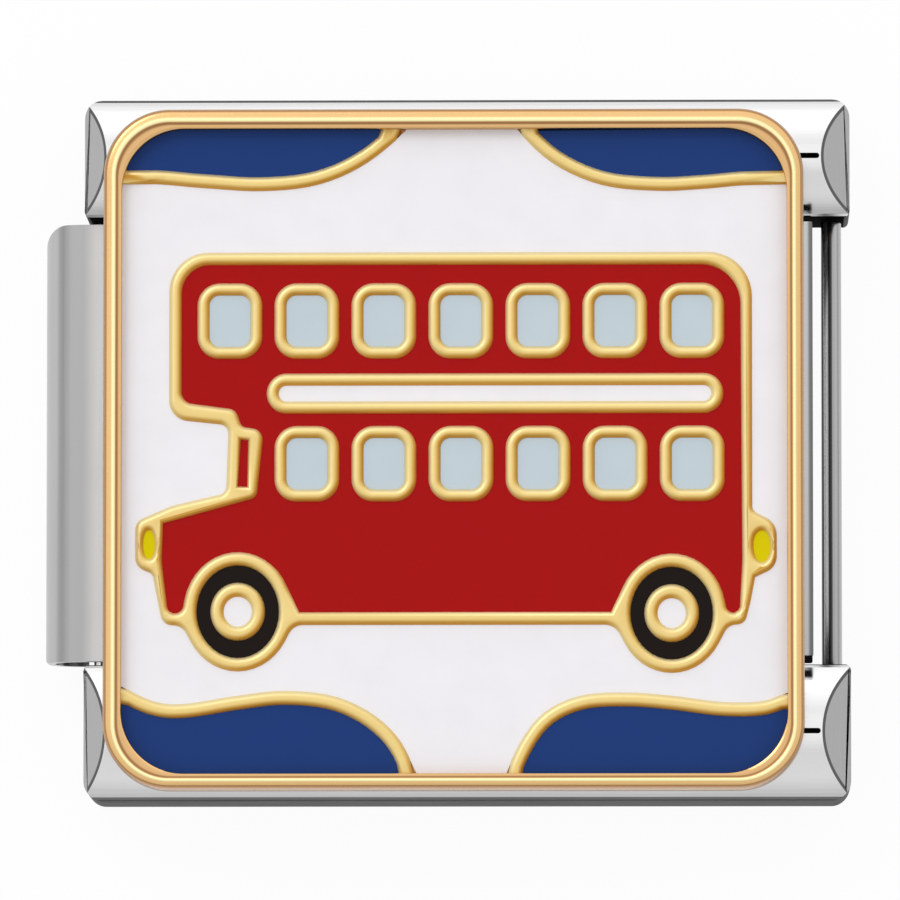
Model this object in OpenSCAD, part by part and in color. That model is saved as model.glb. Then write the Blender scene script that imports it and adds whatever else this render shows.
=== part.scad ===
// Modular bracelet charm link, lying face up. Sizes are in millimetres.
// X runs along the bracelet, Y across it, and the enamelled face looks up along Z.
// The origin is under the middle of the whole link, on the plane that the rails stand on.

/* [Shell] */
// Length of the shell along the bracelet
shell_l = 9.8; // [8:0.02:12]
// Width of the shell across the bracelet
shell_w = 9; // [7.4:0.05:11]
// Width of the upper rail, on the +Y side
upper_rail_w = 1.52; // [1.3:0.02:2]
// Width of the lower rail, on the -Y side
lower_rail_w = 1.74; // [1.3:0.02:2]
// Height of a rail at its ridge
rail_h = 1.65; // [1.5:0.05:2]
// Height that the crown rises over the rail's sides
crown_h = 0.3; // [0.2:0.02:0.5]
// Thickness of the deck between the rails
deck_t = 0.18; // [0.12:0.02:0.25]
// Distance of the deck's ends from the shell's ends
deck_inset = 0.48; // [0.3:0.02:0.6]
// Distance of the deck's shoulders from the face plate's ends
shoulder_inset = 0.35; // [0.1:0.05:0.4]
// Length of the ground bevels at the catch rod's end, along the ridge
open_bevel_l = 0.37; // [0.15:0.01:0.4]
// Length of the ground bevels at the sleeve's end, along the ridge
sleeve_bevel_l = 0.29; // [0.15:0.01:0.4]
// Drop of the bevel from the ridge to the end face
bevel_drop = 0.28; // [0.2:0.02:0.5]
// Width of the slot along a rail's ridge
slot_w = 0.07; // [0.05:0.01:0.12]
// Depth of the slot along a rail's ridge
slot_d = 0.3; // [0.1:0.05:0.5]
// Distance of the slot's ends from the bevels
slot_inset = 0.02; // [0.02:0.01:0.2]
// Radius of a rail's lower edges
edge_r = 0.12; // [0.08:0.02:0.25]
// Radius of the shell's corners, seen from above
corner_r = 0.25; // [0.1:0.01:0.4]
// Radius of the rails' corners beside the channel, seen from above
inner_corner_r = 0.08; // [0.04:0.01:0.09]

/* [Rods] */
// Diameter of the two rods
rod_d = 0.26; // [0.2:0.01:0.32]
// Distance of each rod's axis from the shell's end
rod_inset = 0.23; // [0.18:0.01:0.3]
// Depth that a rod enters each rail
rod_depth = 0.4; // [0.2:0.05:0.6]
// Radial clearance of a rod in its hole
rod_gap = 0.01; // [0.005:0.005:0.02]

/* [Sleeve] */
// Length of the sleeve along the bracelet
sleeve_l = 4.6; // [4:0.1:5]
// Thickness of the flattened sleeve
sleeve_t = 1.06; // [0.9:0.02:1.2]
// Thickness of the sleeve's sheet
sheet_t = 0.12; // [0.08:0.01:0.15]
// Distance that the sleeve stands out past the shell's end
sleeve_out = 0.52; // [0.4:0.01:0.7]
// Height of the sleeve above the plane that the rails stand on
sleeve_z = 0.08; // [0.04:0.02:0.16]
// Clearance between the sleeve's ends and the rails
sleeve_gap = 0.06; // [0.05:0.01:0.2]
// Width of the mouth in the sleeve's lower sheet
mouth_l = 0.5; // [0.36:0.02:0.7]

/* [Face] */
// Distance of the face plate's edge from the shell's ends
face_inset_x = 0.44; // [0.2:0.02:0.6]
// Distance of the face plate's edge from the shell's sides
face_inset_y = 0.16; // [0.1:0.01:0.4]
// Distance that the face sits off the shell's middle, towards the sleeve
face_off_x = 0.16; // [0:0.01:0.2]
// Distance that the face sits off the shell's middle, towards the lower rail
face_off_y = 0.06; // [0:0.01:0.1]
// Radius of the face plate's corners
face_r = 0.84; // [0.5:0.05:1.4]
// Thickness of the face plate
plate_t = 0.42; // [0.2:0.02:0.6]
// Height of the bezel above the face plate
bezel_h = 0.3; // [0.2:0.02:0.5]
// Width of the bezel
bezel_w = 0.225; // [0.15:0.005:0.35]
// Radius of the corners of the bezel's opening
open_r = 0.8; // [0.5:0.05:1.4]
// Distance that the opening sits off the plate's middle, towards the catch rod
open_off_x = 0.01; // [0:0.005:0.05]
// Distance that the opening sits off the plate's middle, towards the lower rail
open_off_y = 0.035; // [0:0.005:0.05]
// Height of the gold lines above the face plate
line_h = 0.2; // [0.15:0.01:0.3]
// Width of the gold lines round the windows and the stripe
line_w = 0.155; // [0.12:0.005:0.18]
// Width of the gold rings round the tyres and the hubs
ring_w = 0.17; // [0.12:0.005:0.18]
// Width of the gold waves that cut off the corners
wave_w = 0.18; // [0.12:0.005:0.25]
// Thickness of the enamel
enamel_t = 0.12; // [0.06:0.01:0.14]
// Clearance between the enamel and the gold beside it
enamel_gap = 0.01; // [0.005:0.005:0.02]

/* [Picture] */
// Length of a window pane
pane_l = 0.52; // [0.4:0.02:0.54]
// Height of a window pane
pane_w = 0.65; // [0.5:0.01:0.7]
// Distance between neighbouring windows
window_pitch = 0.983; // [0.92:0.001:1]
// Half length of a tyre's outline
tyre_rx = 0.525; // [0.45:0.005:0.56]
// Half height of a tyre's outline
tyre_ry = 0.585; // [0.5:0.005:0.62]

/* [Hidden] */

$fn = 48;
curve_step = 9;        // degrees of a rounded corner between two points of its outline
spline_steps = 5;      // points of a smooth curve between two of its knots
over = 0.1;            // length that a cutting solid runs past what it cuts

steel = "#c8c8ca";
gold = "#e3b66b";
line_gold = "#e8c46c";
white = "#ececee";
blue = "#233c76";
red = "#a21a1c";
pane_grey = "#bfccd4";
black = "#241e1c";
yellow = "#decc08";

// The sleeve stands out on one side only, so the shell lies off the origin by half of that
shell_x = sleeve_out / 2;
shell_end = shell_l / 2;
channel_w = shell_w - upper_rail_w - lower_rail_w;
channel_y = (lower_rail_w - upper_rail_w) / 2;
rod_z = sleeve_z + sleeve_t / 2;
rod_l = channel_w + 2 * rod_depth;

face_l = shell_l - 2 * face_inset_x;
face_w = shell_w - 2 * face_inset_y;
face_z = rail_h;
art_z = face_z + plate_t;
open_l = face_l - 2 * bezel_w;
open_w = face_w - 2 * bezel_w;

// The picture was drawn for an opening of this size, and it is fitted to the real one
drawn_l = 8.49;
drawn_w = 8.16;
fit_x = open_l / drawn_l;
fit_y = open_w / drawn_w;
picture_y = 0.01;      // height of the picture's middle over the opening's

// Outline of the coach body with its gold edge: corners as [x, y, radius]
body_corners = [
    [-3.64, 2.51, 0.5], [3.8, 2.51, 0.56], [3.8, -0.77, 0.12], [4.11, -0.93, 0.24],
    [4.11, -1.5, 0.26], [3.82, -1.6, 0.08], [3.78, -1.9, 0.4], [3.7, -2.21, 0.2],
    [-3.72, -2.21, 0.2], [-3.85, -1.56, 0.1], [-4.07, -1.47, 0.2], [-4.07, -0.9, 0.16],
    [-3.6, -0.7, 0.8], [-2.91, -0.54, 0.12], [-2.88, 0.32, 0.12], [-3.64, 0.4, 0.26]
];
// Outline of the red enamel inside it
red_corners = [
    [-3.48, 2.35, 0.36], [3.65, 2.35, 0.5], [3.67, -1.4, 0.7], [3.63, -2.06, 0.2],
    [-3.65, -2.06, 0.12], [-3.73, -1.4, 0.7], [-3.73, -0.91, 0.06], [-2.52, -0.6, 0.12],
    [-2.43, 0.26, 0.18], [-2.71, 0.3, 0.08], [-2.79, 0.52, 0.14], [-3.48, 0.61, 0.15]
];
// The wheels' gold rings break into both outlines' lower edge after this corner
last_corner_before_wheels = [7, 3];
// Outline of the red slot beside the driver
slot_corners = [[-2.74, 0.15, 0.055], [-2.61, 0.15, 0.055], [-2.62, -0.48, 0.06], [-2.79, -0.48, 0.06]];

// Centres of the windows: the upper deck's first one, and the lower deck's
upper_windows = [-2.865, 1.64];
upper_count = 7;
lower_windows = [-1.88, -0.17];
lower_count = 6;

pane_r = 0.13;

stripe_from = -2.24;
stripe_to = 3.28;
stripe_y = 0.72;
stripe_w = 0.2;

wheels = [[-2.76, -2.04], [2.77, -2.065]];
hub_r = 0.18;
hub_stretch = 1.05;
lamps = [[-3.895, -1.19, 0.074, 0.185], [3.92, -1.22, 0.108, 0.2]];

// Where each wheel's ring flares into the body's edge, on its right and on its left, as the angle
// on the ring and the radius of the corner: for the red above it, and for the ground below it
red_flares = [[[25, 0.06], [12, 0.12]], [[12, 0.12], [25, 0.06]]];
ground_flares = [[[30, 0.25], [30, 0.25]], [[30, 0.25], [30, 0.25]]];

// Middle lines of the gold waves that cut off the corners
wave_top_left = [
    [-4.6, 3.35], [-3.95, 3.47], [-3.2, 3.42], [-2.45, 3.38], [-1.75, 3.46], [-1.15, 3.73],
    [-0.6, 4.2], [-0.3, 4.6]
];
wave_top_right = [
    [0.55, 4.6], [0.85, 4.15], [1.3, 3.72], [1.9, 3.45], [2.6, 3.375], [3.2, 3.4],
    [3.8, 3.445], [4.6, 3.4]
];
wave_bottom_left = [
    [-4.6, -2.8], [-4.2, -3.1], [-3.8, -3.27], [-3.4, -3.29], [-2.75, -3.19], [-2.15, -3.13],
    [-1.5, -3.21], [-0.97, -3.5], [-0.65, -3.93], [-0.5, -4.6]
];
wave_bottom_right = [
    [0.65, -4.6], [0.8, -3.98], [1.13, -3.45], [1.6, -3.2], [2.2, -3.155], [2.8, -3.2],
    [3.4, -3.275], [3.9, -3.27], [4.2, -3.18], [4.6, -3.0]
];
waves = [
    [wave_top_left, [-5, 5]], [wave_top_right, [5, 5]],
    [wave_bottom_left, [-5, -5]], [wave_bottom_right, [5, -5]]
];

// Width of the rail on one side, 1 for the upper one and -1 for the lower, and the Y of its ridge
function rail_w(side) = side > 0 ? upper_rail_w : lower_rail_w;
function rail_y(side) = side * (shell_w - rail_w(side)) / 2;

// Corners of a rail seen from above, as [x, y, radius]
function rail_corners(side) =
    let (outer = side * shell_w / 2, inner = outer - side * rail_w(side))
    [
        [shell_end, outer, corner_r], [-shell_end, outer, corner_r],
        [-shell_end, inner, inner_corner_r], [shell_end, inner, inner_corner_r]
    ];

// ---- Plane geometry ----

function unit(v) = v / norm(v);
function fitted(points) =
    [for (p = points) [p[0] * fit_x + open_off_x, p[1] * fit_y + picture_y - open_off_y]];
function flat(p) = [p[0], p[1]];

// Arc that rounds the corner b, between its neighbours a and c
function arc_at(a, b, c, r) =
    let (
        u = unit(flat(a) - flat(b)),
        v = unit(flat(c) - flat(b)),
        half = acos(u * v) / 2,
        reach = min(r / tan(half), norm(flat(a) - flat(b)) / 2, norm(flat(c) - flat(b)) / 2),
        radius = reach * tan(half),
        mid = flat(b) + unit(u + v) * radius / sin(half),
        from = flat(b) + u * reach - mid,
        to = flat(b) + v * reach - mid,
        start = atan2(from[1], from[0]),
        turn = atan2(cross(from, to), from * to),
        steps = max(1, ceil(abs(turn) / curve_step))
    )
    [for (i = [0 : steps]) mid + radius * [cos(start + turn * i / steps), sin(start + turn * i / steps)]];

// Closed outline through corners [x, y, radius], where a radius of 0 keeps the point
function rounded(corners) =
    let (n = len(corners))
    [for (i = [0 : n - 1])
        each corners[i][2] == 0 ? [flat(corners[i])]
            : arc_at(corners[(i + n - 1) % n], corners[i], corners[(i + 1) % n], corners[i][2])];

// The corners of a clockwise outline, moved inwards by gap
function inset(corners, gap) =
    let (n = len(corners))
    [for (i = [0 : n - 1])
        let (
            b = flat(corners[i]),
            u = unit(b - flat(corners[(i + n - 1) % n])),
            v = unit(flat(corners[(i + 1) % n]) - b),
            left = [u[1] + v[1], -u[0] - v[0]],
            place = b + gap * left / (1 + u * v),
            bend = cross(u, v) < 0 ? -1 : 1
        )
        [place[0], place[1], max(corners[i][2] + bend * gap, gap / 2)]];

function rounded_box(l, w, r) =
    rounded([[l / 2, w / 2, r], [-l / 2, w / 2, r], [-l / 2, -w / 2, r], [l / 2, -w / 2, r]]);

function oval(rx, ry) =
    [for (a = [0 : curve_step : 360 - curve_step]) [rx * cos(a), ry * sin(a)]];

// Corner where the line that touches an oval at an angle meets the level y
function flare_corner(wheel, rx, ry, angle, y, r) =
    let (t = (y - wheel[1] - ry * sin(angle)) / (ry * cos(angle)))
    [wheel[0] + rx * (cos(angle) - t * sin(angle)), y, r];

// Way over a wheel's ring, or under it if way is -1, flaring into the level y at both ends
function round_wheel(wheel, grow, flares, way, y) =
    let (
        rx = tyre_rx + ring_w + grow,
        ry = tyre_ry + ring_w + grow,
        from = way * flares[0][0],
        to = way * (180 - flares[1][0]),
        steps = ceil(abs(to - from) / curve_step),
        angles = [for (i = [0 : steps]) from + (to - from) * i / steps]
    )
    concat(
        [flare_corner(wheel, rx, ry, from, y, flares[0][1])],
        [for (a = angles) [wheel[0] + rx * cos(a), wheel[1] + ry * sin(a), 0]],
        [flare_corner(wheel, rx, ry, to, y, flares[1][1])]
    );

// A clockwise outline, moved inwards by gap, with both wheels' rings let into its lower edge
function with_wheels(corners, gap, last_before, flares, way) =
    let (moved_in = inset(corners, gap), y = moved_in[last_before][1])
    concat(
        [for (i = [0 : last_before]) moved_in[i]],
        round_wheel(wheels[1], way * gap, flares[1], way, y),
        round_wheel(wheels[0], way * gap, flares[0], way, y),
        [for (i = [last_before + 1 : len(corners) - 1]) moved_in[i]]
    );

function moved(points, to) = [for (p = points) p + to];

// Point at t between b and c on a smooth curve through a, b, c and d
function between(a, b, c, d, t) =
    (2 * b + (c - a) * t + (2 * a - 5 * b + 4 * c - d) * t * t + (3 * b - a - 3 * c + d) * t * t * t) / 2;

// Smooth curve through the knots, but for the first and last, which only steer it
function smooth(knots) =
    [for (i = [1 : len(knots) - 3], s = [0 : spline_steps - (i == len(knots) - 3 ? 0 : 1)])
        between(knots[i - 1], knots[i], knots[i + 1], knots[i + 2], s / spline_steps)];

function side_of(path, i, reach) =
    let (
        a = path[max(i - 1, 0)],
        b = path[min(i + 1, len(path) - 1)],
        along = unit(b - a)
    )
    path[i] + reach * [-along[1], along[0]];

function beside(path, reach) = [for (i = [0 : len(path) - 1]) side_of(path, i, reach)];

function reversed(path) = [for (i = [len(path) - 1 : -1 : 0]) path[i]];

// A wave runs on past the opening at both ends
function wave_path(knots) =
    let (
        curve = smooth(knots),
        n = len(curve)
    )
    fitted(concat(
        [curve[0] + (curve[0] - curve[1]) * 9],
        curve,
        [curve[n - 1] + (curve[n - 1] - curve[n - 2]) * 9]
    ));

// ---- Flat shapes of the picture ----

module opening_shape(gap = 0) {
    translate([open_off_x, -open_off_y])
        polygon(rounded_box(open_l - 2 * gap, open_w - 2 * gap, open_r - gap));
}

module wave_shape(knots) {
    path = wave_path(knots);
    polygon(concat(beside(path, wave_w / 2), reversed(beside(path, -wave_w / 2))));
}

// All that lies on a wave's corner side, from reach away from its middle line
module beyond_wave(wave, reach) {
    path = wave_path(wave[0]);
    corner = wave[1];
    last = path[len(path) - 1];
    side = cross(last - path[0], corner - path[0]) > 0 ? 1 : -1;
    edge = beside(path, side * reach);
    along = abs(path[0][0]) > abs(last[0])
        ? [[last[0], corner[1]], corner]
        : [corner, [path[0][0], corner[1]]];
    polygon(concat(edge, along));
}

module oval_at(place, rx, ry) {
    polygon(fitted(moved(oval(rx, ry), place)));
}

module tyre_shapes(grow = 0) {
    for (w = wheels) oval_at(w, tyre_rx + grow, tyre_ry + grow);
}

module hub_shapes(r) {
    for (w = wheels) oval_at(w, r, r * hub_stretch);
}

module lamp_shapes(gap = 0) {
    for (l = lamps) oval_at([l[0], l[1]], l[2] - gap, l[3] - gap);
}

module slot_shape(gap = 0) {
    polygon(fitted(rounded(inset(slot_corners, gap))));
}

module silhouette(grow = 0) {
    polygon(fitted(rounded(with_wheels(body_corners, -grow, last_corner_before_wheels[0],
        ground_flares, -1))));
}

module window_shapes(grow = 0) {
    box = rounded_box(pane_l + 2 * grow, pane_w + 2 * grow, pane_r + grow);
    for (i = [0 : upper_count - 1])
        polygon(fitted(moved(box, upper_windows + [i * window_pitch, 0])));
    for (i = [0 : lower_count - 1])
        polygon(fitted(moved(box, lower_windows + [i * window_pitch, 0])));
}

module stripe_shape(grow = 0) {
    half_w = stripe_w / 2 + grow;
    box = rounded_box(stripe_to - stripe_from + 2 * grow, 2 * half_w, half_w - over / 100);
    polygon(fitted(moved(box, [(stripe_from + stripe_to) / 2, stripe_y])));
}

// The red cell, which the tyres' gold rings cut into
module red_shape(gap = 0) {
    polygon(fitted(rounded(with_wheels(red_corners, gap, last_corner_before_wheels[1],
        red_flares, 1))));
}

// ---- Steel pieces ----

module rail_profile(w) {
    crown_r = (pow(w / 2, 2) + pow(crown_h, 2)) / (2 * crown_h);
    difference() {
        intersection() {
            translate([-w / 2, 0]) square([w, rail_h]);
            translate([0, rail_h - crown_r]) circle(r = crown_r);
        }
        for (edge = [-w / 2, w / 2]) lower_edge_cut(edge, sign(edge));
    }
}

// What the rounding takes off a rail's lower edge
module lower_edge_cut(edge, side) {
    difference() {
        translate([edge, 0]) square(2 * edge_r, center = true);
        translate([edge - side * edge_r, edge_r]) circle(r = edge_r);
        translate([edge - side * 2 * edge_r, 0]) square(2 * edge_r, center = true);
        translate([edge, 2 * edge_r]) square(2 * edge_r, center = true);
    }
}

module rail(side) {
    intersection() {
        translate([0, rail_y(side), 0]) rotate([90, 0, 90])
            linear_extrude(height = shell_l, center = true) rail_profile(rail_w(side));
        linear_extrude(height = rail_h) polygon(rounded(rail_corners(side)));
    }
}

// Slanted cut across the rails' ends, from the ridge down to the end face
module bevel_cut(bevel_l) {
    rotate([90, 0, 0]) linear_extrude(height = shell_w + 2 * over, center = true)
        polygon([
            [shell_end - bevel_l * (1 + over / bevel_drop), rail_h + over],
            [shell_end + bevel_l * over / bevel_drop, rail_h - bevel_drop - over],
            [shell_end + bevel_l + over, rail_h - bevel_drop - over],
            [shell_end + bevel_l + over, rail_h + over]
        ]);
}

module ridge_slot(side) {
    from = sleeve_bevel_l + slot_inset - shell_end;
    slot_l = shell_end - open_bevel_l - slot_inset - from;
    translate([from, rail_y(side) - slot_w / 2, rail_h - slot_d]) cube([slot_l, slot_w, slot_d + over]);
}

module rod_hole() {
    translate([0, channel_y, 0]) rotate([90, 0, 0])
        cylinder(h = rod_l + 2 * rod_gap, r = rod_d / 2 + rod_gap, center = true);
}

// The tongue between the rails, and the shoulders that join it to their ridges under the face
module deck() {
    tongue_l = shell_l - 2 * deck_inset;
    shoulders_l = face_l - 2 * shoulder_inset;
    translate([-tongue_l / 2, channel_y - channel_w / 2, rail_h - deck_t])
        cube([tongue_l, channel_w, deck_t]);
    translate([-shoulders_l / 2, rail_y(-1), rail_h - deck_t])
        cube([shoulders_l, rail_y(1) - rail_y(-1), deck_t]);
}

module shell() {
    color(steel) translate([shell_x, 0, 0]) difference() {
        union() {
            for (side = [-1, 1]) rail(side);
            deck();
        }
        bevel_cut(open_bevel_l);
        mirror([1, 0, 0]) bevel_cut(sleeve_bevel_l);
        for (side = [-1, 1]) ridge_slot(side);
        for (side = [-1, 1]) translate([side * (shell_end - rod_inset), 0, rod_z]) rod_hole();
    }
}

module rod(side) {
    translate([shell_x + side * (shell_end - rod_inset), channel_y, rod_z])
        rotate([90, 0, 0]) cylinder(h = rod_l, r = rod_d / 2, center = true);
}

// The fixed rod at the open end, that the next link's sleeve hooks on
module catch_rod() {
    color(steel) rod(1);
}

// The fixed rod inside the sleeve, that the sleeve slides along
module guide_rod() {
    color(steel) rod(-1);
}

// Long hole's outline with round ends, as thick as t, starting at the left end
module flat_tube(l, t) {
    union() {
        translate([t / 2, 0]) circle(d = t);
        translate([l - t / 2, 0]) circle(d = t);
        translate([t / 2, -t / 2]) square([l - t, t]);
    }
}

module sleeve() {
    color(steel)
        translate([shell_x - shell_end - sleeve_out, channel_y, rod_z]) rotate([90, 0, 0])
        linear_extrude(height = channel_w - 2 * sleeve_gap, center = true) difference() {
            flat_tube(sleeve_l, sleeve_t);
            translate([sheet_t, 0]) flat_tube(sleeve_l - 2 * sheet_t, sleeve_t - 2 * sheet_t);
            translate([sleeve_t / 2, -sleeve_t / 2 - over]) square([mouth_l, sheet_t + 2 * over]);
        }
}

// ---- Gold pieces ----

module on_shell(z, h) {
    translate([shell_x - face_off_x, -face_off_y, z]) linear_extrude(height = h) children();
}

module face_plate() {
    color(gold) on_shell(face_z, plate_t) polygon(rounded_box(face_l, face_w, face_r));
}

module bezel_frame() {
    color(gold) on_shell(art_z, bezel_h) difference() {
        polygon(rounded_box(face_l, face_w, face_r));
        opening_shape();
    }
}

module bus_outline() {
    color(line_gold) on_shell(art_z, line_h) difference() {
        silhouette();
        red_shape();
        tyre_shapes();
        lamp_shapes();
        slot_shape();
    }
}

module window_rims() {
    color(line_gold) on_shell(art_z, line_h) difference() {
        window_shapes(line_w);
        window_shapes();
    }
}

module stripe_rim() {
    color(line_gold) on_shell(art_z, line_h) difference() {
        stripe_shape(line_w);
        stripe_shape();
    }
}

module hub_rims() {
    color(line_gold) on_shell(art_z, line_h) difference() {
        hub_shapes(hub_r + ring_w);
        hub_shapes(hub_r);
    }
}

module corner_lines() {
    color(line_gold) on_shell(art_z, line_h) intersection() {
        opening_shape(enamel_gap);
        union() for (w = waves) wave_shape(w[0]);
    }
}

// ---- Enamel pieces ----

module white_ground() {
    color(white) on_shell(art_z, enamel_t) difference() {
        opening_shape(enamel_gap);
        for (w = waves) beyond_wave(w, -wave_w / 2 - enamel_gap);
        silhouette(enamel_gap);
    }
}

module blue_corners() {
    color(blue) on_shell(art_z, enamel_t) intersection() {
        opening_shape(enamel_gap);
        union() for (w = waves) beyond_wave(w, wave_w / 2 + enamel_gap);
    }
}

module red_bodywork() {
    color(red) on_shell(art_z, enamel_t) union() {
        difference() {
            red_shape(enamel_gap);
            window_shapes(line_w + enamel_gap);
            stripe_shape(line_w + enamel_gap);
        }
        slot_shape(enamel_gap);
    }
}

module window_panes() {
    color(pane_grey) on_shell(art_z, enamel_t) window_shapes(-enamel_gap);
}

module white_stripe() {
    color(white) on_shell(art_z, enamel_t) stripe_shape(-enamel_gap);
}

module black_tyres() {
    color(black) on_shell(art_z, enamel_t) difference() {
        tyre_shapes(-enamel_gap);
        hub_shapes(hub_r + ring_w + enamel_gap);
    }
}

module white_hubs() {
    color(white) on_shell(art_z, enamel_t) hub_shapes(hub_r - enamel_gap);
}

module yellow_lamps() {
    color(yellow) on_shell(art_z, enamel_t) lamp_shapes(enamel_gap);
}

shell();
catch_rod();
guide_rod();
sleeve();
face_plate();
bezel_frame();
bus_outline();
window_rims();
stripe_rim();
hub_rims();
corner_lines();
white_ground();
blue_corners();
red_bodywork();
window_panes();
white_stripe();
black_tyres();
white_hubs();
yellow_lamps();
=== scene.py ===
import math

import bmesh
import bpy
from mathutils import Matrix, Vector


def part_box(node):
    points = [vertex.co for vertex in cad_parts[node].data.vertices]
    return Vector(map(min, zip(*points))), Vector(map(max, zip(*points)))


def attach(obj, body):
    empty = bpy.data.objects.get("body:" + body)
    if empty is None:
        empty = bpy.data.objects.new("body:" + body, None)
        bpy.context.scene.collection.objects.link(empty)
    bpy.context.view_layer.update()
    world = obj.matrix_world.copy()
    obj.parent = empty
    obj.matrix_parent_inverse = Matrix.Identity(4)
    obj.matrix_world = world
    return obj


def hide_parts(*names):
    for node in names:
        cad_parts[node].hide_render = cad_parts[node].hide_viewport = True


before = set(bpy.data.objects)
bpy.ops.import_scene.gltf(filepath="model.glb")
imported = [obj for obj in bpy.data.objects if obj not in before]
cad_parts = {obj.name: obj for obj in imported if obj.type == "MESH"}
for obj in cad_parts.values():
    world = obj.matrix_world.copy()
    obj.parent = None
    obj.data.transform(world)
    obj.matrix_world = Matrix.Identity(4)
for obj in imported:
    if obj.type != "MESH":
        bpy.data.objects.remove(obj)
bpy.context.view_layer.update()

# Shapes are made in millimetres and scaled to metres when they are finished.
MM = 0.001


def box_mm(node):
    """Lowest and highest corner of a CAD node, in millimetres."""
    low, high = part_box(node)
    return low / MM, high / MM


# ---- Driving dimensions, in millimetres ----

SHELL = box_mm("shell")
SLEEVE = box_mm("sleeve")
PLATE = box_mm("face_plate")
BEZEL = box_mm("bezel_frame")
CATCH_ROD = box_mm("catch_rod")
GUIDE_ROD = box_mm("guide_rod")

UPPER_RAIL_W = 1.52
LOWER_RAIL_W = 1.74
CROWN_H = 0.3
RAIL_EDGE_R = 0.12
SHOULDER_W = 0.055
CORNER_R = 0.25
INNER_CORNER_R = 0.08
ARRIS_SHADE_W = 0.045
BEVEL_L = {1: 0.37, -1: 0.29}
BEVEL_DROP = 0.28
SLOT_W = 0.07
SLOT_END_R = 0.49 * SLOT_W
SLOT_D = 0.3
SLOT_INSET = 0.02
DECK_T = 0.18
DECK_INSET = 0.48
DECK_REBATE = 0.085
REBATE_D = 0.09
SHOULDER_INSET = 0.35
SHEET_T = 0.12
MOUTH_L = 0.5
SLEEVE_CORNER_R = {1: 0.28, -1: 0.06}
FACE_R = 0.84
BEZEL_W = 0.225
OPEN_R = 0.8
OPEN_OFF = Vector((0.01, -0.035, 0))
ENAMEL_TOP = 2.19
BEAD_H = 0.055
BEAD_RUN = 0.07
BEAD_STEPS = 6
BEAD_FOOT_ANGLE = 58
BEAD_TUCK = 0.15
BEAD_NEAR = 0.03
SHORTEST_EDGE = 0.012
ENAMEL_OVERLAP = 0.014

# Points nearer than this are one, and cuts run this far past what they cut
SAME_POINT = 1e-4
HAIR = 1e-3
MARGIN = 0.1

CENTRE_X = (SHELL[0].x + SHELL[1].x) / 2
HALF_L = (SHELL[1].x - SHELL[0].x) / 2
HALF_W = SHELL[1].y
RAIL_H = SHELL[1].z
CHANNEL = (LOWER_RAIL_W - HALF_W, HALF_W - UPPER_RAIL_W)
FACE = (PLATE[0] + PLATE[1]) / 2


# ---- Mesh making ----

def piece(bm, name, finishes, body="link", replaces=(), sharp=32, clean=True):
    """Turns a bmesh in millimetres into a finished piece that rides on a body."""
    if clean:
        bmesh.ops.remove_doubles(bm, verts=bm.verts, dist=SAME_POINT)
        bmesh.ops.recalc_face_normals(bm, faces=bm.faces)
    bmesh.ops.scale(bm, vec=(MM, MM, MM), verts=bm.verts)
    mesh = bpy.data.meshes.new(name)
    bm.to_mesh(mesh)
    bm.free()
    if "custom_normal" in mesh.attributes:
        mesh.attributes.remove(mesh.attributes["custom_normal"])
    mesh.shade_smooth()
    mesh.set_sharp_from_angle(angle=math.radians(sharp))
    for finish in finishes:
        mesh.materials.append(finish)
    made = bpy.data.objects.new(name, mesh)
    bpy.context.scene.collection.objects.link(made)
    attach(made, body)
    if replaces:
        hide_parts(*replaces)
    return made


def cad_shape(node):
    """A merged copy of a CAD node's mesh, in millimetres."""
    bm = bmesh.new()
    bm.from_mesh(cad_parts[node].data)
    bmesh.ops.scale(bm, vec=(1 / MM, 1 / MM, 1 / MM), verts=bm.verts)
    bmesh.ops.remove_doubles(bm, verts=bm.verts, dist=SAME_POINT)
    bm.normal_update()
    return bm


def top_faces(bm):
    """The level faces at the very top."""
    highest = max(v.co.z for v in bm.verts)
    return [f for f in bm.faces if f.normal.z > 0.9 and f.calc_center_median().z > highest - 0.01]


def verts_of(faces):
    return list({v for f in faces for v in f.verts})


def round_over(bm, faces, run, rise, steps):
    """Raises flat upward faces with a rounded rim."""
    foot = math.radians(BEAD_FOOT_ANGLE)
    turns = [foot + (math.pi / 2 - foot) * i / steps for i in range(steps + 1)]
    for low, high in zip(turns, turns[1:]):
        bmesh.ops.inset_region(bm, faces=faces,
                               thickness=run * (math.cos(low) - math.cos(high)) / math.cos(foot),
                               depth=rise * (math.sin(high) - math.sin(low)) / (1 - math.sin(foot)),
                               use_boundary=True, use_even_offset=False)


def swell(bm, reach):
    """Moves the walls of an upright solid outwards, by at most 2.5 times the reach at a sharp corner."""
    moves = {}
    for v in bm.verts:
        walls = [f.normal for f in v.link_faces if abs(f.normal.z) < 0.5]
        across = sum(walls, Vector()).normalized()
        lean = max(0.4, min(across.dot(n) for n in walls))
        moves[v] = across * (reach / lean)
    for v, move in moves.items():
        v.co += move


def bevel(bm, edges, width, segments):
    bmesh.ops.bevel(bm, geom=edges, offset=width, offset_type="OFFSET", segments=segments,
                    profile=0.5, affect="EDGES", material=-1, clamp_overlap=True)


def edges_where(bm, test):
    """Edges for which the test says yes to both ends."""
    return [e for e in bm.edges if all(test(v.co) for v in e.verts)]


def add_block(bm, size, middle, finish=0):
    verts = bmesh.ops.create_cube(bm, size=1)["verts"]
    bmesh.ops.scale(bm, vec=size, verts=verts)
    bmesh.ops.translate(bm, vec=middle, verts=verts)
    for f in {f for v in verts for f in v.link_faces}:
        f.material_index = finish


def upright_edges(bm, height):
    return [e for e in bm.edges if abs(e.verts[0].co.z - e.verts[1].co.z) > height / 2]


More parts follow.
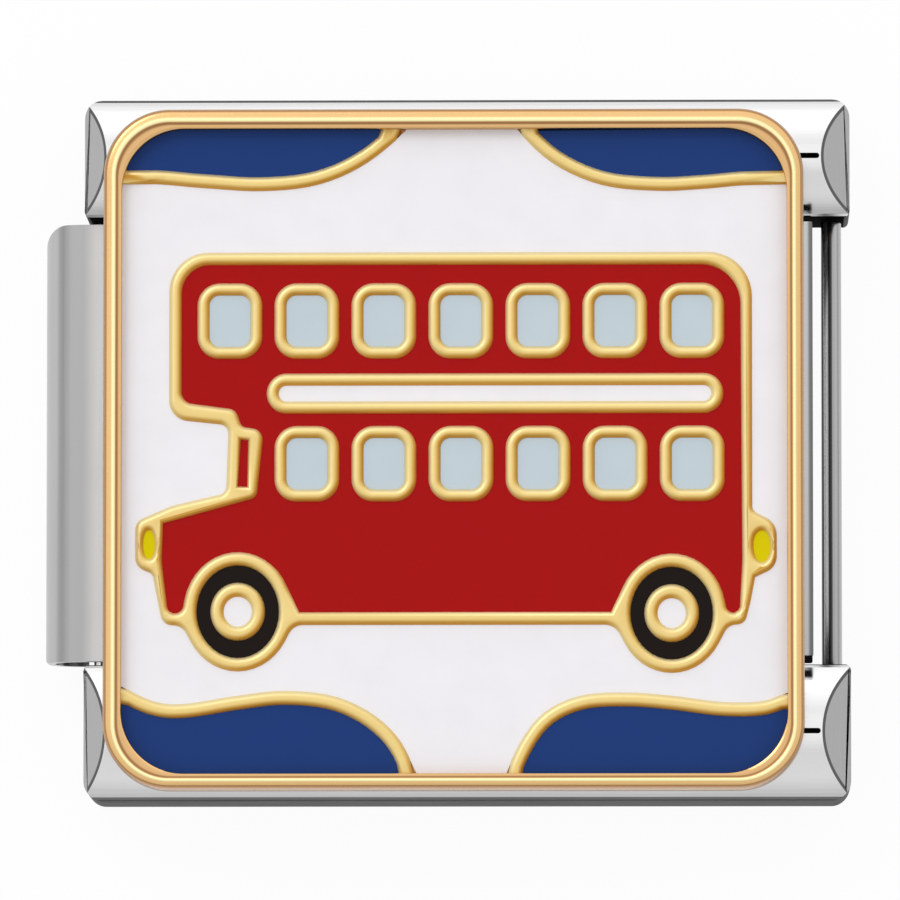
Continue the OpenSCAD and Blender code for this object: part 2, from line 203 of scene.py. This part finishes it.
def rounded_plate(low, high, radius, segments=24):
    """A flat plate with round corners that fills a box."""
    bm = bmesh.new()
    add_block(bm, high - low, (low + high) / 2)
    bevel(bm, upright_edges(bm, high.z - low.z), radius, segments)
    return bm


def end_block(low, high, radii, segments=12):
    """A block with round upright corners, of one radius towards +Y and another towards -Y."""
    bm = bmesh.new()
    middle = (low + high) / 2
    add_block(bm, high - low, middle)
    for way, radius in radii.items():
        upright = upright_edges(bm, high.z - low.z)
        bevel(bm, [e for e in upright if (e.verts[0].co.y - middle.y) * way > 0], radius, segments)
    return bm


def corner_centre(place, inset, radius):
    """Centre of the round corner nearest a place on the bezel, which is that far in from its outline."""
    half = (PLATE[1] - PLATE[0]) / 2
    middle = FACE + OPEN_OFF * inset / BEZEL_W
    return Vector((middle.x + math.copysign(half.x - inset - radius, place.x - middle.x),
                   middle.y + math.copysign(half.y - inset - radius, place.y - middle.y), place.z))


# ---- Steel ----

POLISHED, BRUSHED_SHADED, GROUND, ARRIS_SHADE, PAINTED_SHADE = range(5)

CROWN_STRIPS = 40
# How squarely a face has to point outwards to be brushed and painted dark as shade, and inwards to be painted
# near black as shade
BRUSHED_SHADED_FROM = 0.72
PAINTED_SHADE_FROM = 0.96


def rail_bar(side, half_w):
    """One rail's crowned bar, which runs past the shell's ends, with a brushed outer side painted dark as
    shade.
    """
    bm = bmesh.new()
    bmesh.ops.create_grid(bm, x_segments=1, y_segments=CROWN_STRIPS, size=0.5)
    bmesh.ops.scale(bm, vec=(2 * HALF_L + MARGIN, 2 * half_w, 1), verts=bm.verts)
    crown_r = (half_w ** 2 + CROWN_H ** 2) / (2 * CROWN_H)
    for v in bm.verts:
        v.co.z = RAIL_H - crown_r + math.sqrt(crown_r ** 2 - v.co.y ** 2)
    walls = bmesh.ops.extrude_face_region(bm, geom=bm.faces[:])
    for v in walls["geom"]:
        if isinstance(v, bmesh.types.BMVert):
            v.co.z = 0
    bmesh.ops.recalc_face_normals(bm, faces=bm.faces)
    foot = edges_where(bm, lambda c: c.z < SAME_POINT and abs(c.y) > half_w - SAME_POINT)
    bevel(bm, foot, RAIL_EDGE_R, segments=6)
    shoulder_z = RAIL_H - CROWN_H
    shoulder = edges_where(bm, lambda c: abs(c.z - shoulder_z) < HAIR and abs(c.y) > half_w - SAME_POINT)
    bevel(bm, shoulder, SHOULDER_W, segments=2)
    bm.normal_update()
    for f in bm.faces:
        # Outer walls get the brushed finish painted dark: painted shade standing in for their dark
        # reflection.
        if abs(f.normal.x) < 0.5 and f.normal.y * side > BRUSHED_SHADED_FROM:
            f.material_index = BRUSHED_SHADED
        # Inner walls facing the channel are painted near black: painted shade of the gap beside the deck.
        elif f.normal.y * side < -PAINTED_SHADE_FROM:
            f.material_index = PAINTED_SHADE
    bmesh.ops.translate(bm, vec=(CENTRE_X, side * (HALF_W - half_w), 0), verts=bm.verts)
    return bm


def rail_outline(side, width):
    """The upright solid that gives a rail its length and its round corners."""
    low_y, high_y = sorted((side * (HALF_W + HAIR), side * (HALF_W - width - HAIR)))
    low = Vector((SHELL[0].x, low_y, -MARGIN))
    high = Vector((SHELL[1].x, high_y, RAIL_H + MARGIN))
    # The ends and round corners take the brushed finish, painted dark as shade.
    return painted(end_block(low, high, {side: CORNER_R, -side: INNER_CORNER_R}), BRUSHED_SHADED)


def grind_end(bm, end):
    """Cuts a rail's end off along a slant, from the ridge down to the end face."""
    slope = Vector((end * BEVEL_DROP, 0, BEVEL_L[end])).normalized()
    cut = bmesh.ops.bisect_plane(bm, geom=bm.verts[:] + bm.edges[:] + bm.faces[:], dist=1e-5,
                                 plane_co=(CENTRE_X + end * (HALF_L - BEVEL_L[end]), 0, RAIL_H),
                                 plane_no=slope, clear_outer=True)
    rim = [e for e in cut["geom_cut"] if isinstance(e, bmesh.types.BMEdge)]
    for f in bmesh.ops.edgeloop_fill(bm, edges=rim)["faces"]:
        f.material_index = GROUND


def paint_arris_shade(bm):
    """Paints a line of shade on the ground ends, along their edges with polished steel, for the dark
    reflection of a rounded edge.
    """
    ends = [f for f in bm.faces if f.material_index == GROUND]
    arris_shade = {e for f in ends for e in f.edges if any(g.material_index == POLISHED for g in e.link_faces)}
    rims = bmesh.ops.inset_individual(bm, faces=ends, thickness=ARRIS_SHADE_W, use_even_offset=False)["faces"]
    for f in rims:
        f.material_index = GROUND if arris_shade.isdisjoint(f.edges) else ARRIS_SHADE


def slot_cutter(ridge_y):
    """The solid that cuts the slot along a rail's ridge, with round ends."""
    low = Vector((SHELL[0].x + BEVEL_L[-1] + SLOT_INSET, ridge_y - SLOT_W / 2, RAIL_H - SLOT_D))
    high = Vector((SHELL[1].x - BEVEL_L[1] - SLOT_INSET, ridge_y + SLOT_W / 2, RAIL_H + SLOT_D))
    # The slot's walls are painted near black: painted shade inside the slot.
    return painted(rounded_plate(low, high, SLOT_END_R, segments=6), PAINTED_SHADE)


def painted(bm, finish):
    for f in bm.faces:
        f.material_index = finish
    return bm


def combined(first, second, operation, finishes=()):
    """Two shapes made one by an exact boolean."""
    used = []
    for shape in (first, second):
        mesh = bpy.data.meshes.new("combined")
        shape.to_mesh(mesh)
        shape.free()
        for finish in finishes:
            mesh.materials.append(finish)
        used.append(bpy.data.objects.new("combined", mesh))
        bpy.context.scene.collection.objects.link(used[-1])
    modifier = used[0].modifiers.new("combined", "BOOLEAN")
    modifier.operation = operation
    modifier.solver = "EXACT"
    modifier.object = used[1]
    ready = used[0].evaluated_get(bpy.context.evaluated_depsgraph_get())
    made = bmesh.new()
    made.from_mesh(ready.to_mesh())
    for spent in used:
        bpy.data.objects.remove(spent)
    return made


def soften(bm, angle, width, segments):
    """Breaks the sharp edges that a polisher rounds."""
    bm.normal_update()
    hard = [e for e in bm.edges if len(e.link_faces) == 2 and e.calc_face_angle() > math.radians(angle)]
    bevel(bm, hard, width, segments)


def make_rails(finishes):
    for side, width, name in ((1, UPPER_RAIL_W, "shell_upper_rail"), (-1, LOWER_RAIL_W, "shell_lower_rail")):
        bm = combined(rail_bar(side, width / 2), rail_outline(side, width), "INTERSECT", finishes)
        for end in (-1, 1):
            grind_end(bm, end)
        bm = combined(bm, slot_cutter(side * (HALF_W - width / 2)), "DIFFERENCE", finishes)
        paint_arris_shade(bm)
        piece(bm, name, finishes, replaces=["shell"], sharp=11)


def make_deck(finish, dark):
    """The tongue between the rails with a rebate beside them painted near black as shade, and its shoulders
    under the face.
    """
    bm = bmesh.new()
    tongue = (HALF_L - DECK_INSET, CHANNEL[0] + DECK_REBATE, CHANNEL[1] - DECK_REBATE, 0)
    rebate = (HALF_L - DECK_INSET - 0.01, *CHANNEL, REBATE_D)
    shoulders = ((PLATE[1].x - PLATE[0].x) / 2 - SHOULDER_INSET,
                 LOWER_RAIL_W / 2 - HALF_W, HALF_W - UPPER_RAIL_W / 2, 2 * HAIR)
    for half_x, low_y, high_y, drop in (tongue, rebate, shoulders):
        middle = (CENTRE_X, (low_y + high_y) / 2, RAIL_H - (DECK_T + drop) / 2)
        # The rebate takes the second finish, near black: painted shade in the gap beside the rails.
        add_block(bm, (2 * half_x, high_y - low_y, DECK_T - drop), middle, int(drop == REBATE_D))
    soften(bm, angle=60, width=0.025, segments=3)
    piece(bm, "shell_deck", [finish, dark], replaces=["shell"], sharp=20, clean=False)


def make_rod(name, box):
    """A drawn steel rod with slightly domed ends, and light and dark stripes of painted reflection along it.
    """
    bm = bmesh.new()
    low, high = box
    radius = (high.z - low.z) / 2
    bmesh.ops.create_cone(bm, cap_ends=True, segments=48, radius1=radius, radius2=radius,
                          depth=high.y - low.y)
    bmesh.ops.rotate(bm, matrix=Matrix.Rotation(math.pi / 2, 3, "X"), verts=bm.verts)
    soften(bm, angle=60, width=radius * 0.3, segments=4)
    bmesh.ops.translate(bm, vec=(low + high) / 2, verts=bm.verts)
    # Stripes across the rod's width paint its reflection: near black at the edge, a bright band, a dark band,
    # then mid grey.
    striped_reflection_steel = metal(name + "_steel", grey(1), grey(0.9), 0.22, (20, 0.6, 8), 0.001, lambda tree: across(
        tree, low.x, high.x, [(0, grey(0.02)), (0.1, grey(0.03)), (0.15, grey(0.95)), (0.3, grey(0.95)),
                              (0.36, grey(0.06)), (0.5, grey(0.06)), (0.56, grey(0.42)), (1, grey(0.5))]))
    piece(bm, name, [striped_reflection_steel], replaces=[name], sharp=20, clean=False)


def make_sleeve(finish):
    """A strip bent round both curls, open at a mouth beside the left one."""
    low, high = SLEEVE
    radius = (high.z - low.z) / 2
    middle = (low.z + high.z) / 2
    bm = bmesh.new()
    start = low.x + radius + MOUTH_L
    ends = [bm.verts.new((start, y, low.z)) for y in (low.y, high.y)]
    edges = [bm.edges.new(ends)]

    def run_to(edges, x):
        made = bmesh.ops.extrude_edge_only(bm, edges=edges)["geom"]
        verts = [g for g in made if isinstance(g, bmesh.types.BMVert)]
        bmesh.ops.translate(bm, vec=(x - verts[0].co.x, 0, 0), verts=verts)
        return [g for g in made if isinstance(g, bmesh.types.BMEdge) and all(v in verts for v in g.verts)]

    def curl(edges, x):
        made = bmesh.ops.spin(bm, geom=edges, cent=(x, 0, middle), axis=(0, -1, 0),
                              angle=math.pi, steps=28)["geom_last"]
        return [g for g in made if isinstance(g, bmesh.types.BMEdge)]

    edges = run_to(edges, high.x - radius)
    edges = curl(edges, high.x - radius)
    edges = run_to(edges, low.x + radius)
    curl(edges, low.x + radius)
    bmesh.ops.remove_doubles(bm, verts=bm.verts, dist=SAME_POINT)
    bmesh.ops.recalc_face_normals(bm, faces=bm.faces)
    upper = max(bm.faces, key=lambda f: f.calc_center_median().z)
    if upper.normal.z < 0:
        bmesh.ops.reverse_faces(bm, faces=bm.faces)
    bmesh.ops.solidify(bm, geom=bm.faces[:], thickness=SHEET_T)
    outline = end_block(low - Vector((HAIR, 0, MARGIN)), high + Vector((1, 0, MARGIN)), SLEEVE_CORNER_R)
    bm = combined(bm, outline, "INTERSECT")
    soften(bm, angle=60, width=0.02, segments=2)
    piece(bm, "hook_sleeve", [finish], body="hook", replaces=["sleeve"], sharp=20)


# ---- Gold ----

def make_plate(finish):
    bm = rounded_plate(*PLATE, FACE_R)
    soften(bm, angle=60, width=0.03, segments=3)
    piece(bm, "face_plate_gold", [finish], replaces=["face_plate"])


# Steps of the bezel's profile from the outside in: inset, share of its height, corner radius, and tone
# of its gold, which is painted light: 0 is painted shade in the groove, 1 the painted highlight on the ridge
BEZEL_STEPS = [
    (0.0, 0.0, FACE_R, 0.25), (0.0, 0.5, FACE_R, 0.25), (0.006, 0.66, FACE_R, 0.25),
    (0.016, 0.79, FACE_R - 0.01, 0.2), (0.028, 0.87, FACE_R - 0.02, 0.2),
    (0.042, 0.91, FACE_R - 0.035, 0.4), (0.056, 0.93, FACE_R - 0.05, 0.65),
    (0.08, 0.94, FACE_R - 0.075, 0.7), (0.096, 0.945, FACE_R - 0.09, 0.72),
    (0.108, 0.955, FACE_R - 0.1, 0.95), (0.127, 0.96, FACE_R - 0.12, 1.0),
    (0.144, 0.953, FACE_R - 0.135, 0.96), (0.155, 0.94, FACE_R - 0.145, 0.3),
    (0.166, 0.928, FACE_R - 0.155, 0.0), (0.177, 0.922, FACE_R - 0.155, 0.12),
    (0.187, 0.92, FACE_R - 0.145, 0.5), (0.2, 0.92, FACE_R - 0.09, 0.55),
    (BEZEL_W - 0.007, 0.915, OPEN_R, 0.62), (BEZEL_W, 0.88, OPEN_R, 0.4), (BEZEL_W, 0.0, OPEN_R, 0.4)
]


def make_bezel(finish):
    """A raised rim with a ridge, a groove inside it and a ledge above the enamel."""
    low, high = BEZEL
    bm = rounded_plate(low, high, FACE_R)
    tone = bm.verts.layers.float.new("tone")
    spare = [f for f in bm.faces if f.calc_center_median().z > low.z + SAME_POINT]
    bmesh.ops.delete(bm, geom=spare, context="FACES")
    edges = bm.edges[:]
    bmesh.ops.delete(bm, geom=bm.faces[:], context="FACES_ONLY")
    last_inset, last_radius = 0, FACE_R
    for v in bm.verts:
        v[tone] = BEZEL_STEPS[0][-1]
    for inset, share, radius, brightness in BEZEL_STEPS[1:] + BEZEL_STEPS[:1]:
        made = bmesh.ops.extrude_edge_only(bm, edges=edges)["geom"]
        verts = {g for g in made if isinstance(g, bmesh.types.BMVert)}
        edges = [g for g in made if isinstance(g, bmesh.types.BMEdge) and verts.issuperset(g.verts)]
        for v in verts:
            out = (v.co - corner_centre(v.co, last_inset, last_radius)) / last_radius
            v.co = corner_centre(v.co, inset, radius) + out * radius
            v.co.z = low.z + share * (high.z - low.z)
            # Each ring of the profile carries its painted light: a highlight on the ridge, painted shade in
            # the groove.
            v[tone] = brightness
        last_inset, last_radius = inset, radius
    piece(bm, "bezel", [finish], replaces=["bezel_frame"], sharp=50)


def paint_light_by_lean(bm):
    """Painted light on the sides that lean up and to the left: paler gold there, and deeper gold as painted
    shade on the others.
    """
    bm.normal_update()
    tone = bm.verts.layers.float.new("tone")
    for v in bm.verts:
        v[tone] = 0.5 + 0.5 * v.normal.dot(Vector((-1, 1, 0)).normalized())


def tuck_ends_in(bm):
    """Runs what stops at the bezel's inner wall straight on into the bezel."""
    half = (PLATE[1] - PLATE[0]) / 2
    for v in bm.verts:
        out = v.co - corner_centre(v.co, BEZEL_W, OPEN_R)
        place = v.co - FACE - OPEN_OFF
        at_wall = any(half[axis] - BEZEL_W - abs(place[axis]) < BEAD_NEAR for axis in (0, 1))
        in_corner = out.x * place.x > 0 and out.y * place.y > 0
        if at_wall or (in_corner and out.xy.length > OPEN_R - BEAD_NEAR):
            axis = 0 if abs(place.x) / half.x > abs(place.y) / half.y else 1
            v.co[axis] += math.copysign(BEAD_TUCK, place[axis])


def make_beads(finish):
    for node in ("bus_outline", "window_rims", "stripe_rim", "hub_rims", "corner_lines"):
        bm = cad_shape(node)
        bmesh.ops.dissolve_degenerate(bm, dist=SHORTEST_EDGE, edges=bm.edges)
        bm.normal_update()
        top = top_faces(bm)
        for v in verts_of(top):
            v.co.z = ENAMEL_TOP
        if node == "corner_lines":
            tuck_ends_in(bm)
        round_over(bm, top, BEAD_RUN, BEAD_H, BEAD_STEPS)
        paint_light_by_lean(bm)
        piece(bm, node + "_beads", [finish], replaces=[node], sharp=60, clean=False)


# ---- Enamel ----

def make_enamel(node, finish):
    bm = cad_shape(node)
    swell(bm, ENAMEL_OVERLAP)
    bm.normal_update()
    piece(bm, node + "_enamel", [finish], replaces=[node], sharp=40, clean=False)


# ---- Finishes ----

class Value:
    """A node's output that works in arithmetic."""

    def __init__(self, tree, socket):
        self.tree, self.socket = tree, socket

    def math(self, operation, first, second):
        return self.tree.node("ShaderNodeMath", {"operation": operation}, {0: first, 1: second}).out()

    def __add__(self, other):
        return self.math("ADD", self, other)

    def __sub__(self, other):
        return self.math("SUBTRACT", self, other)

    def __mul__(self, other):
        return self.math("MULTIPLY", self, other)

    def __rsub__(self, other):
        return self.math("SUBTRACT", other, self)

    __radd__ = __add__
    __rmul__ = __mul__


class Node:
    def __init__(self, tree, made):
        self.tree, self.made = tree, made

    def out(self, name=0):
        return Value(self.tree, self.made.outputs[name])


class Tree:
    """The node tree of a material or of the world."""

    def __init__(self, owner):
        owner.use_nodes = True
        self.nodes, self.links = owner.node_tree.nodes, owner.node_tree.links
        self.nodes.clear()

    def node(self, kind, settings=None, sockets=None):
        made = self.nodes.new(kind)
        for name, value in (settings or {}).items():
            if name == "stops":
                ramp = made.color_ramp
                for spare in list(ramp.elements)[1:]:
                    ramp.elements.remove(spare)
                for i, (place, color) in enumerate(value):
                    stop = ramp.elements[0] if i == 0 else ramp.elements.new(place)
                    stop.position, stop.color = place, color
            else:
                setattr(made, name, value)
        for name, value in (sockets or {}).items():
            if isinstance(value, Value):
                self.links.new(value.socket, made.inputs[name])
            else:
                made.inputs[name].default_value = value
        return Node(self, made)

    def finish(self, shader, kind="ShaderNodeOutputMaterial"):
        self.node(kind, sockets={"Surface": shader})


def linear(red, green, blue):
    """A display colour, 0 to 255, as Blender's linear one."""
    shares = [c / 255 for c in (red, green, blue)]
    return tuple(c / 12.92 if c <= 0.04045 else ((c + 0.055) / 1.055) ** 2.4 for c in shares) + (1,)


def grey(level):
    return (level, level, level, 1)


def coordinates(tree, scale=(1, 1, 1)):
    """Object coordinates in millimetres, stretched by scale."""
    place = tree.node("ShaderNodeTexCoord").out("Object")
    return tree.node("ShaderNodeMapping", sockets={
        "Vector": place, "Scale": [s / MM for s in scale]}).out()


def noise(tree, place, scale, detail=2, roughness=0.5):
    return tree.node("ShaderNodeTexNoise", sockets={
        "Vector": place, "Scale": scale, "Detail": detail, "Roughness": roughness}).out(0)


def mixed(tree, share, first, second):
    made = tree.node("ShaderNodeMix", {"data_type": "RGBA"})
    for i, value in ((0, share), (6, first), (7, second)):
        socket = made.made.inputs[i]
        if isinstance(value, Value):
            tree.links.new(value.socket, socket)
        else:
            socket.default_value = value
    return made.out(2)


def multiplied(tree, first, second):
    made = tree.node("ShaderNodeMix", {"data_type": "RGBA", "blend_type": "MULTIPLY"})
    made.made.inputs[0].default_value = 1
    for i, value in ((6, first), (7, second)):
        tree.links.new(value.socket, made.made.inputs[i])
    return made.out(2)


def bump(tree, height, distance):
    """A normal from a height, where a height of one stands for a distance in millimetres."""
    return tree.node("ShaderNodeBump", sockets={
        "Height": height, "Distance": distance * MM, "Strength": 1}).out()


def by_tone(tree, stops):
    """Colours along the tone that a piece's surface carries, which is painted light and shade."""
    tone = tree.node("ShaderNodeAttribute", {"attribute_name": "tone"}).out("Fac")
    return tree.node("ShaderNodeValToRGB", {"stops": stops}, {"Fac": tone}).out("Color")


def across(tree, start, end, stops):
    """Colours along X, from start to end in millimetres."""
    place = tree.node("ShaderNodeSeparateXYZ", sockets={"Vector": coordinates(tree)}).out("X")
    share = (place - start) * (1 / (end - start))
    return tree.node("ShaderNodeValToRGB", {"stops": stops}, {"Fac": share}).out("Color")


def metal(name, light, dark, roughness, grain, grain_depth, tint=None, metallic=1.0, edge=1.0):
    """Polished metal with drawn lines along the grain, faint stains and, if asked, a tint over both."""
    material = bpy.data.materials.new(name)
    tree = Tree(material)
    lines = noise(tree, coordinates(tree, grain), scale=1, detail=4, roughness=0.6)
    cloud = noise(tree, coordinates(tree), scale=1.3, detail=3)
    color = mixed(tree, cloud * 0.5 + lines * 0.5, light, dark)
    if tint:
        color = multiplied(tree, color, tint(tree))
    shader = tree.node("ShaderNodeBsdfPrincipled", sockets={
        "Base Color": color, "Metallic": metallic, "Specular Tint": grey(edge),
        "Roughness": roughness + (cloud - 0.5) * 0.08 + (lines - 0.5) * 0.06,
        "Normal": bump(tree, lines, grain_depth)}).out()
    tree.finish(shader)
    return material


def enamel(name, color, roughness=0.16):
    """Fired glass: slightly wavy, glossy, and a little deeper in tone in places."""
    material = bpy.data.materials.new(name)
    tree = Tree(material)
    cloud = noise(tree, coordinates(tree), scale=2.2, detail=3)
    deep = tuple(c * 0.93 for c in color[:3]) + (1,)
    waves = noise(tree, coordinates(tree), scale=3.5)
    pits = noise(tree, coordinates(tree), scale=30)
    shader = tree.node("ShaderNodeBsdfPrincipled", sockets={
        "Base Color": mixed(tree, cloud, deep, color),
        "Roughness": roughness + (pits - 0.5) * 0.1,
        "Specular IOR Level": 0.06,
        "Normal": bump(tree, waves * 0.9 + pits * 0.1, 0.004)}).out()
    tree.finish(shader)
    return material


# ---- Stage: camera, light and floor ----

def make_camera():
    """Above the face and a few degrees below its middle."""
    tilt_x, tilt_y = math.radians(1), math.radians(5)
    seen_width = 11.44
    lens, sensor = 500, 36
    away = seen_width * MM * lens / sensor
    back = Vector((math.tan(tilt_x), -math.tan(tilt_y), 1)).normalized()
    off_centre = Vector((-0.041, -0.038))
    target = Vector((FACE.x + off_centre.x, FACE.y + off_centre.y, BEZEL[1].z)) * MM
    data = bpy.data.cameras.new("camera")
    data.type = "PERSP"
    data.lens, data.sensor_width = lens, sensor
    data.clip_start, data.clip_end = 0.01, 2
    camera = bpy.data.objects.new("camera", data)
    bpy.context.scene.collection.objects.link(camera)
    camera.location = target + back * away
    camera.rotation_mode = "QUATERNION"
    right = Vector((0, 1, 0)).cross(back).normalized()
    camera.rotation_quaternion = Matrix((right, back.cross(right), back)).transposed().to_quaternion()
    bpy.context.scene.camera = camera


def seen_directly(tree):
    """One where the ray comes from the camera, or from a gloss or glass that shows the background."""
    path = tree.node("ShaderNodeLightPath")
    both = path.out("Is Camera Ray") + path.out("Is Glossy Ray") + path.out("Is Transmission Ray")
    return tree.node("ShaderNodeMath", {"operation": "MINIMUM"}, {0: both, 1: 1.0}).out()


def make_floor():
    """A white disc just under the link, which takes shadows but shows as bright as the background."""
    radius, gap, whiteness = 0.4, 0.00002, 0.94
    bm = bmesh.new()
    bmesh.ops.create_circle(bm, cap_ends=True, segments=96, radius=radius)
    mesh = bpy.data.meshes.new("floor")
    bm.to_mesh(mesh)
    bm.free()
    floor = bpy.data.objects.new("floor", mesh)
    bpy.context.scene.collection.objects.link(floor)
    floor.location.z = -gap
    material = bpy.data.materials.new("floor")
    tree = Tree(material)
    plain = tree.node("ShaderNodeBsdfDiffuse", sockets={"Color": grey(0.86)}).out()
    glow = tree.node("ShaderNodeEmission", sockets={"Color": grey(1), "Strength": 1.0}).out()
    share = seen_directly(tree) * whiteness
    tree.finish(tree.node("ShaderNodeMixShader", sockets={0: share, 1: plain, 2: glow}).out())
    mesh.materials.append(material)


def make_world():
    """A studio dome: bright overhead and in a ring 40 degrees up, and dim at the horizon."""
    zenith = Vector((-0.02, 0.085, 1)).normalized()
    levels = [(-90, 0.5), (-5, 0.4), (0, 0.5), (13, 0.74), (30, 1.04), (40, 1.08), (50, 1.0),
              (60, 0.93), (70, 0.86), (77, 1.0), (90, 1.02)]
    more_to_y, less_to_x = 0.33, 0.04
    world = bpy.data.worlds.new("studio")
    bpy.context.scene.world = world
    tree = Tree(world)
    way = tree.node("ShaderNodeTexCoord").out("Generated")
    parts = tree.node("ShaderNodeSeparateXYZ", sockets={"Vector": way})
    height = tree.node("ShaderNodeVectorMath", {"operation": "DOT_PRODUCT"}, {0: way, 1: zenith}).out("Value")
    stops = [((math.sin(math.radians(up)) + 1) / 2, grey(level / 2)) for up, level in levels]
    dome = tree.node("ShaderNodeValToRGB", {"stops": stops}, {"Fac": height * 0.5 + 0.5}).out("Color")
    side = parts.out("Y") * more_to_y - parts.out("X") * less_to_x + 1.0
    glow = tree.node("ShaderNodeBackground", sockets={"Color": dome, "Strength": side * 2.0}).out()
    tree.finish(glow, "ShaderNodeOutputWorld")


def make_lamp(name, place, size, power):
    data = bpy.data.lights.new(name, "AREA")
    data.shape = "DISK"
    data.size = size
    data.energy = power
    lamp = bpy.data.objects.new(name, data)
    bpy.context.scene.collection.objects.link(lamp)
    lamp.location = place
    lamp.rotation_mode = "QUATERNION"
    lamp.rotation_quaternion = Vector(place).to_track_quat("Z", "Y")
    lamp.visible_camera = False


# ---- The link ----

polished = metal("polished_steel", grey(0.86), grey(0.78), 0.14, (0.6, 40, 8), 0.0012)
ground = metal("ground_end", grey(0.53), grey(0.46), 0.36, (40, 2, 8), 0.002)
# Near-black strip: painted shade along the arc where the crown meets the ground end.
arris_shade = metal("painted_arris_shade", grey(0.17), grey(0.12), 0.4, (8, 8, 8), 0.001, edge=0.3)
# Dark grey brushed steel: a real brushed grain, with its darkness painted shade on the rails' sides and ends.
brushed_shaded = metal("brushed_side_painted_shade", grey(0.21), grey(0.14), 0.34, (0.5, 8, 50), 0.002, edge=0.2)
# Near-black steel: painted shade on the rails' inner walls, in the slots and on the deck's rebate.
painted_shade = metal("painted_shade_steel", grey(0.012), grey(0.006), 0.6, (4, 4, 4), 0.001, edge=0.05)
deck_end = CENTRE_X + HALF_L - DECK_INSET
# Darker over the last stretch before the deck's end: painted shade where its rounded end turns down.
deck_steel_shaded_end = metal("deck_steel_shaded_end", grey(0.61), grey(0.52), 0.22, (20, 0.6, 8), 0.0012, lambda tree: across(
    tree, deck_end - 0.4, deck_end, [(0, grey(1)), (0.82, grey(0.98)), (0.9, grey(0.35)), (1, grey(0.3))]))
# Bands across the curl's end paint its shading: paler at the edge, a dark band where the curl meets the flat,
# then brighter.
sleeve_steel_painted_shade = metal("drawn_steel_painted_shade", grey(0.98), grey(0.9), 0.3, (40, 0.6, 8), 0.0015, lambda tree: across(
    tree, SLEEVE[0].x, SLEEVE[0].x + 0.72, [
        (0, grey(0.53)), (0.2, grey(0.53)), (0.32, grey(0.36)), (0.42, grey(0.39)), (0.46, grey(0.42)),
        (0.54, grey(0.43)), (0.68, grey(0.45)), (0.9, grey(0.64)), (1, grey(0.68))]))
# Gold coloured by the bezel's tone: brown as painted shade in the groove, pale as a painted highlight on the
# ridge.
bezel_gold = metal("gold_plate", grey(1), grey(0.93), 0.26, (7, 7, 7), 0.0015, lambda tree: by_tone(tree, [
    (0, linear(156, 114, 78)), (0.35, linear(198, 152, 100)), (0.55, linear(228, 184, 128)),
    (0.8, linear(248, 207, 142)), (1, linear(255, 252, 194))]))
plate_gold = metal("gold_side", linear(206, 156, 100), linear(196, 146, 92), 0.2, (7, 7, 7), 0.0015)
# Gold coloured by the lean: pale as painted light up and to the left, orange as painted shade down and to the
# right.
line_gold = metal("gold_line", grey(1), grey(0.94), 0.42, (14, 14, 14), 0.002, lambda tree: by_tone(tree, [
    (0, linear(216, 160, 72)), (0.2, linear(212, 152, 52)), (0.36, linear(224, 182, 96)),
    (0.5, linear(236, 208, 134)), (0.75, linear(240, 222, 164)), (1, linear(240, 219, 160))]), metallic=0.6)

make_camera()
make_floor()
make_world()
make_lamp("key", (-0.09, 0.11, 0.16), size=0.1, power=0.07)
bpy.context.scene.view_settings.view_transform = "Standard"

make_rails([polished, brushed_shaded, ground, arris_shade, painted_shade])
make_deck(deck_steel_shaded_end, painted_shade)
make_rod("catch_rod", CATCH_ROD)
make_rod("guide_rod", GUIDE_ROD)
make_sleeve(sleeve_steel_painted_shade)
make_plate(plate_gold)
make_bezel(bezel_gold)
make_beads(line_gold)

ENAMELS = {
    "white_ground": ("white_enamel", (236, 234, 238)),
    "blue_corners": ("blue_enamel", (30, 58, 118)),
    "red_bodywork": ("red_enamel", (164, 16, 16)),
    "window_panes": ("pale_grey_enamel", (191, 204, 212)),
    "white_stripe": ("white_enamel", (236, 234, 238)),
    "black_tyres": ("black_enamel", (28, 21, 18)),
    "white_hubs": ("white_enamel", (236, 234, 238)),
    "yellow_lamps": ("yellow_enamel", (214, 197, 0)),
}
glass = {slot: enamel(slot, linear(*color)) for slot, color in ENAMELS.values()}
for node, (slot, color) in ENAMELS.items():
    make_enamel(node, glass[slot])
